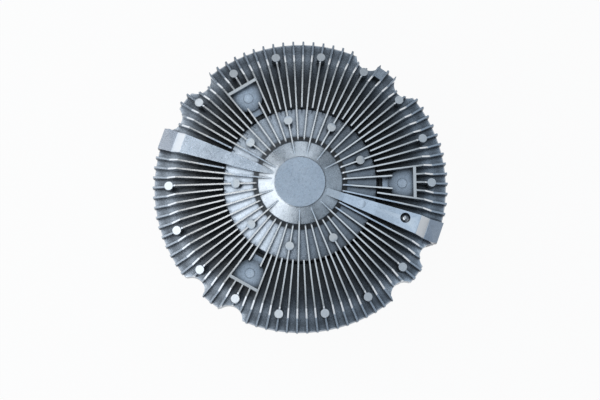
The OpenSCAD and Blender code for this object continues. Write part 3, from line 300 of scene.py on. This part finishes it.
class Casting(Shader):
    """The castings' material, with a mask for each place where the look changes."""

    def __init__(self, name):
        super().__init__(name)
        geometry = self.add("ShaderNodeNewGeometry")
        length = self.add("ShaderNodeVectorMath", operation="LENGTH")
        self.link(self.mapped(scale=(1, 1, 0)), length.inputs[0])
        self.radius = length.outputs["Value"]
        self.x, self.y, self.z = self.split(self.coords)
        self.facing_up = self.split(geometry.outputs["Normal"])[2]
        self.edges = geometry.outputs["Pointiness"]
        self.dome = self.ring(DOME_RING)
        self.ribs = self.both_ribs()
        self.fins = self.math("SUBTRACT", 1.0, self.ribs)

    def ring(self, radii):
        """White in a ring about the axis."""
        return self.product(self.rises(self.radius, *radii[:2]), self.falls(self.radius, *radii[2:]))

    def slope(self, start, end):
        """The height along a straight line from one (radius, height) to another."""
        return self.span(self.radius, start[0], end[0], start[1], end[1])

    def near(self, height, fade):
        """White near a height, which may change with the radius."""
        return self.falls(self.math("ABSOLUTE", self.math("SUBTRACT", self.z, height)), *fade)

    def both_ribs(self):
        """White on the two broad ribs."""
        aside = self.split(self.mapped(turn=-RIB_ANGLE))[1]
        return self.falls(self.math("ABSOLUTE", aside), *RIB_SIDE)

    def tip_line(self):
        """White at the height of the fin tips."""
        return self.near(self.slope(FIN_START, FACET_HIGH), TIP_FADE)

    def fin_tips(self):
        """White along the tips of the fins, and not on the ribs."""
        return self.product(self.tip_line(), self.rises(self.radius, *PAST_CONE), self.fins)

    def facet(self):
        """White on the cone that is turned on the outer fin ends."""
        return self.product(self.near(self.slope(FACET_HIGH, FACET_LOW), FACET_FADE), self.ring(FACET_RING))

    def fin_ends(self):
        """White along the low outer ends of the fins, and not on the ribs."""
        low = self.near(self.slope(FACET_LOW, FIN_END), TIP_FADE)
        return self.product(low, self.rises(self.radius, *PAST_FACET), self.fins)

    def outer_pads(self):
        """White on the sloped tops of the outer pads."""
        return self.product(self.near(self.slope(PAD_IN, PAD_OUT), PAD_FADE), self.ring(PAD_RING))

    def inner_pads(self):
        """White on the level tops of the inner pads, and not on the ribs."""
        level = self.rises(self.facing_up, *LIES_LEVEL)
        top = self.near(INNER_PAD_TOP, INNER_PAD_FADE)
        return self.product(top, level, self.ring(INNER_PAD_RING), self.fins)

    def pocket_pads(self):
        """White on the floors of the three pockets."""
        return self.product(self.falls(self.radius, *PAST_POCKETS), self.near(POCKET_PAD, LEVEL_FADE))

    def tongues(self):
        """White on the low tongues that lead from the pockets to the dome."""
        top = self.product(self.near(TONGUE_TOP, LEVEL_FADE), self.rises(self.facing_up, *LOOKS_UP))
        return self.product(top, self.ring(TONGUE_RING))

    def foot(self):
        """White in the low ring at the cone's foot."""
        return self.product(self.falls(self.z, *FOOT_EDGE), self.ring(FOOT_RING))

    def outside(self):
        """White on the rim's outer walls and on all that lies below the joint."""
        upright = self.falls(self.math("ABSOLUTE", self.facing_up), *STANDS_UPRIGHT)
        notches = self.product(self.rises(self.radius, *PAST_NOTCH_WALL),
                               self.falls(self.z, *RIM_FLOOR_EDGE))
        walls = self.math("MAXIMUM", self.rises(self.radius, *PAST_FIN_ENDS), notches)
        return self.math("MAXIMUM", self.product(upright, walls), self.falls(self.z, *JOINT_EDGE))

    def open_within(self, reach):
        """Dark where the surface lies deep between walls of the same piece."""
        node = self.add("ShaderNodeAmbientOcclusion", samples=8, only_local=True)
        node.inputs["Distance"].default_value = reach
        return node.outputs["AO"]


def bare_skin(s):
    """The casting's colour by itself: soft flow marks and small dark specks."""
    flow = s.noise(14 * MM, detail=5, rough=0.6)
    skin = s.ramp(flow, [(0.3, CAST_DARK), (0.72, CAST_LIGHT)])
    specks = s.ramp(s.noise(2.2 * MM, detail=6, rough=0.7), [(0.34, 0.8), (0.5, 1.0)])
    return s.mix(1.0, skin, specks, "MULTIPLY")


def painted_shade_and_highlight(s, colour, lighter, openness):
    """Paints shade deep between the fins, in corners and along the fins' feet on the dome, and paints a
    highlight on the sharp edges.
    """
    # Painted shade deep between the fins
    groove_shade = s.ramp(openness, [(0.2, DEEP_GROOVE_SHADE), (0.5, GROOVE_SHADE), (1.0, 1.0)])
    # Painted shade in corners
    corner_shade = s.ramp(s.total(s.open_within(7 * MM), lighter), [(0.35, 0.4), (0.75, 1.0)])
    # Painted shade along the fins' feet on the dome
    crease_shade = s.ramp(s.open_within(4 * MM), [(0.45, 0.4), (0.85, 1.0)])
    colour = s.mix(1.0, colour, groove_shade, "MULTIPLY")
    colour = s.mix(1.0, colour, corner_shade, "MULTIPLY")
    colour = s.mix(s.dome, colour, crease_shade, "MULTIPLY")
    # Painted highlight on the sharp edges
    return s.mix(s.ramp(s.edges, [(0.54, 0.0), (0.66, 1.0)]), colour, EDGE_HIGHLIGHT)


def middle_parts(s, colour):
    """The nose, painted shade in the ring at the cone's foot, and painted shade growing towards the right
    on the dome and on the pocket floors.
    """
    nose = s.ramp(s.rises(s.radius, 0.0, 50 * MM),
                  [(0.47, NOSE_DULL), (0.49, CONE_BRIGHT), (0.77, CONE_BRIGHT), (0.8, 1.0)])
    below_tips = s.math("SUBTRACT", 1.0, s.tip_line())
    # Painted shade on the dome, growing towards the right, below the fin tips
    dome_shade = s.product(s.dome, s.span(s.x, *DOME_SHADE_SPAN), below_tips)
    # Painted shade on the pocket floors, growing towards the right
    pocket_shade = s.product(s.pocket_pads(), s.span(s.x, *POCKET_SHADE_SPAN))
    colour = s.mix(1.0, colour, nose, "MULTIPLY")
    # Painted shade in the ring at the cone's foot
    colour = s.mix(s.foot(), colour, FOOT_SHADE)
    colour = s.mix(dome_shade, colour, DOME_SHADE_TINT, "MULTIPLY")
    return s.mix(pocket_shade, colour, POCKET_SHADE_TINT, "MULTIPLY")


def raised_parts(s, colour, outside, pads, facet):
    """The ends of ribs and fins, painted highlights on the fin tips, the pads and the turned facet, the
    rim's walls, and painted shade growing towards the right on the inner pads, the cone and the far rib
    ends and towards the back on the pads.
    """
    rib_ends = s.product(s.ribs, s.rises(s.radius, *PAST_FACET_ON_RIB))
    tips = s.ramp(s.rises(s.radius, *TIP_CHANGE), [(0.0, TIP_HIGHLIGHT_IN), (1.0, TIP_HIGHLIGHT_OUT)])
    colour = s.mix(rib_ends, colour, RIB_END_DULL, "MULTIPLY")
    colour = s.mix(s.fin_ends(), colour, FIN_END_DULL, "MULTIPLY")
    # Painted highlight along the fin tips, bright near the dome and weaker towards the rim
    colour = s.mix(s.fin_tips(), colour, tips)
    # Painted shade on the inner pads, growing towards the right
    colour = s.mix(s.product(s.inner_pads(), s.span(s.x, *INNER_PAD_SHADE_SPAN)), colour, BLACK)
    # Painted shade on the cone, growing towards the right
    colour = s.mix(s.product(s.ring(CONE_RING), s.span(s.x, *CONE_SHADE_SPAN)), colour, BLACK)
    colour = s.mix(outside, colour, OUTSIDE_DULL, "MULTIPLY")
    # Painted highlight on the tops of the outer pads
    colour = s.mix(pads, colour, PAD_HIGHLIGHT)
    # Painted shade on the outer pads, growing towards the back
    colour = s.mix(s.product(pads, s.span(s.y, *BACK_PAD_SHADE_SPAN)), colour, BLACK)
    # Painted highlight on the turned facet round the fin ends
    colour = s.mix(facet, colour, FACET_HIGHLIGHT)
    # Painted shade on the far ends of the ribs, growing towards the right
    far_rib = s.product(s.ribs, s.rises(s.radius, *PAST_FIN_TIPS))
    return s.mix(s.product(far_rib, s.span(s.x, *FAR_RIB_SHADE_SPAN)), colour, BLACK)


def cast_aluminium():
    """Bare die casting: fine grain and soft flow marks, painted shade deep between the fins and on one side
    of several parts, painted highlights on the fin tips, the outer pads, the turned facet round the fin
    ends and the sharp edges."""
    s = Casting("cast_aluminium")
    outside = s.outside()
    pads = s.outer_pads()
    facet = s.facet()
    # Offsets that ease or deepen the painted shade between the fins, by zone and by radius
    lighter = s.total(s.product(s.dome, DOME_LIGHTER), s.product(s.tongues(), TONGUE_LIGHTER))
    floors = s.total(s.span(s.radius, *FLOOR_LIGHTER), s.span(s.radius, *FLOOR_DARKER))
    openness = s.total(s.open_within(14 * MM), lighter, floors)

    colour = painted_shade_and_highlight(s, bare_skin(s), lighter, openness)
    colour = middle_parts(s, colour)
    colour = raised_parts(s, colour, outside, pads, facet)
    rough = s.ramp(s.noise(5 * MM), [(0.3, CAST_SMOOTH), (0.7, CAST_ROUGH)])
    rough = s.mix(outside, rough, OUTSIDE_ROUGHER, "ADD")
    rough = s.mix(pads, rough, PAD_ROUGH)
    rough = s.mix(facet, rough, FACET_ROUGH)
    s.finish(colour, rough, s.noise(0.9 * MM, detail=3), strength=0.25, depth=0.15 * MM)
    s.link(s.rises(openness, *BARE_METAL), s.bsdf.inputs["Metallic"])
    return s.mat


def steel(name, dark, light, rough):
    """Turned or pressed metal with fine rings and a thin oil film."""
    s = Shader(name)
    rings = s.noise(1.2 * MM, vector=s.mapped(scale=(0.15, 0.15, 2.0)))
    s.finish(s.ramp(s.noise(12 * MM, detail=6), [(0.3, dark), (0.7, light)]),
             s.ramp(rings, [(0.3, rough), (0.7, rough + 0.18)]),
             rings, strength=0.15, depth=0.05 * MM)
    s.bsdf.inputs["Metallic"].default_value = 1.0
    return s.mat


def moulded(name, dark, light, rough):
    """Moulded plastic or rubber with a fine grain."""
    s = Shader(name)
    s.finish(s.ramp(s.noise(9 * MM), [(0.3, dark), (0.7, light)]),
             s.ramp(s.noise(3 * MM), [(0.3, rough), (0.7, rough + 0.15)]),
             s.noise(0.6 * MM, detail=2), strength=0.3, depth=0.06 * MM)
    return s.mat


MATERIALS = {
    "cast_aluminium": cast_aluminium(),
    "machined_aluminium": steel("machined_aluminium", (0.66, 0.68, 0.7), (0.76, 0.77, 0.78), 0.25),
    "turned_steel": steel("turned_steel", (0.38, 0.38, 0.39), (0.5, 0.5, 0.51), 0.28),
    "bearing_steel": steel("bearing_steel", (0.58, 0.59, 0.6), (0.68, 0.69, 0.7), 0.14),
    "spring_steel": steel("spring_steel", (0.16, 0.17, 0.2), (0.26, 0.27, 0.3), 0.3),
    "sheet_steel": steel("sheet_steel", (0.42, 0.43, 0.44), (0.53, 0.54, 0.55), 0.35),
    "zinc_steel": steel("zinc_steel", (0.5, 0.5, 0.47), (0.64, 0.64, 0.6), 0.3),
    "cage_brass": steel("cage_brass", (0.5, 0.37, 0.16), (0.63, 0.5, 0.24), 0.28),
    "copper": steel("copper", (0.5, 0.22, 0.11), (0.62, 0.3, 0.17), 0.3),
    "seal_rubber": moulded("seal_rubber", (0.018, 0.018, 0.019), (0.03, 0.03, 0.032), 0.6),
    "black_plastic": moulded("black_plastic", (0.02, 0.02, 0.022), (0.035, 0.035, 0.038), 0.42),
}
for part in frame["record"]["subparts"]:
    mesh = nodes[part["node"]].data
    mesh.materials.clear()
    mesh.materials.append(MATERIALS[part["material_slot"]])


def surroundings():
    """A plain studio: pale walls round a dim ceiling."""
    world = bpy.data.worlds.new("surroundings")
    bpy.context.scene.world = world
    world.use_nodes = True
    tree = Tree(world.node_tree)
    x, y, z = tree.split(tree.add("ShaderNodeTexCoord").outputs["Generated"])
    across = tree.product(tree.total(x, 1.0), 0.5)
    front = tree.math("MAXIMUM", tree.product(y, -FRONT_LIGHT))
    fall = tree.ramp(z, WALL_FALL)
    walls = tree.product(tree.total(tree.ramp(across, WALL_LIGHT), front), fall)
    background = tree.nodes["Background"]
    tree.link(tree.mix(fall, CEILING_TINT, WALL_TINT), background.inputs["Color"])
    tree.link(tree.total(walls, CEILING_LIGHT), background.inputs["Strength"])


def floor():
    """White to the camera and in reflections, with the part's own soft shadow left on it."""
    bpy.ops.mesh.primitive_plane_add(size=FLOOR_SIZE)
    plane = bpy.context.object
    plane.name = "floor"
    s = Shader("floor")
    s.bsdf.inputs["Base Color"].default_value = rgba(0.9)
    s.bsdf.inputs["Roughness"].default_value = 0.8
    path = s.add("ShaderNodeLightPath").outputs
    seen = s.math("MAXIMUM", path["Is Camera Ray"], path["Is Glossy Ray"])
    seen = s.math("MAXIMUM", seen, path["Is Transmission Ray"])
    mix = s.add("ShaderNodeMixShader")
    s.link(s.product(seen, FLOOR_GLOW), mix.inputs[0])
    s.link(s.bsdf.outputs[0], mix.inputs[1])
    s.link(s.add("ShaderNodeEmission").outputs[0], mix.inputs[2])
    s.link(mix.outputs[0], s.nodes["Material Output"].inputs["Surface"])
    plane.data.materials.append(s.mat)


def panel(name, x, y, height, radiance, colour, turn=0.0):
    """A level panel above the part that shines straight down; x and y are its two edges each way,
    before it is turned about the part's axis."""
    data = bpy.data.lights.new(name, "AREA")
    data.shape = "RECTANGLE"
    data.size, data.size_y = x[1] - x[0], y[1] - y[0]
    data.energy = radiance * math.pi * data.size * data.size_y
    data.color = colour
    lamp = bpy.data.objects.new(name, data)
    bpy.context.scene.collection.objects.link(lamp)
    around = Matrix.Rotation(math.radians(turn), 4, "Z")
    lamp.location = around @ Vector(((x[0] + x[1]) / 2, (y[0] + y[1]) / 2, RIM_PLANE + height))
    lamp.rotation_euler.z = math.radians(turn)


def camera():
    """At the picture's angle, with the rim's middle where the picture has it."""
    data = bpy.data.cameras.new("camera")
    cam = bpy.data.objects.new("camera", data)
    bpy.context.scene.collection.objects.link(cam)
    bpy.context.scene.camera = cam
    elevation = math.radians(CAMERA_ELEVATION)
    back = Vector((0, -math.cos(elevation), math.sin(elevation)))
    roll = Matrix.Rotation(math.radians(-CAMERA_ROLL), 3, "Z")
    turn = (-back).to_track_quat("-Z", "Y").to_matrix() @ roll
    metres_per_px = RIM_RADIUS / RIM_RADIUS_PX
    right = (IMAGE_CENTRE_PX[0] - RIM_CENTRE_PX[0]) * metres_per_px
    down = (IMAGE_CENTRE_PX[1] - RIM_CENTRE_PX[1]) * metres_per_px
    aim = Vector((0, 0, RIM_PLANE)) + turn @ Vector((right, -down, 0))
    cam.location = aim + back * CAMERA_DISTANCE
    cam.rotation_mode = "QUATERNION"
    cam.rotation_quaternion = turn.to_quaternion()
    data.sensor_width = SENSOR
    data.lens = SENSOR * CAMERA_DISTANCE / (IMAGE_W * metres_per_px)
    data.clip_end = CAMERA_RANGE


surroundings()
floor()
panel("window", x=(-1.80, -0.45), y=(-1.00, 1.20), height=1.5, radiance=1.5, colour=WINDOW_TINT, turn=14)
panel("ceiling", x=(-0.38, 1.25), y=(-0.50, 0.88), height=1.9, radiance=0.68, colour=CEILING_TINT)
panel("strip", x=(-0.50, 0.35), y=(0.55, 0.92), height=1.88, radiance=0.5, colour=LAMP_TINT)
panel("front_strip", x=(-0.22, 0.16), y=(-1.25, -0.80), height=1.9, radiance=0.8, colour=FRONT_TINT)
panel("back_ceiling", x=(-0.60, 0.80), y=(1.30, 2.40), height=1.9, radiance=0.95, colour=LAMP_TINT)
camera()
bpy.context.scene.view_settings.view_transform = "Standard"
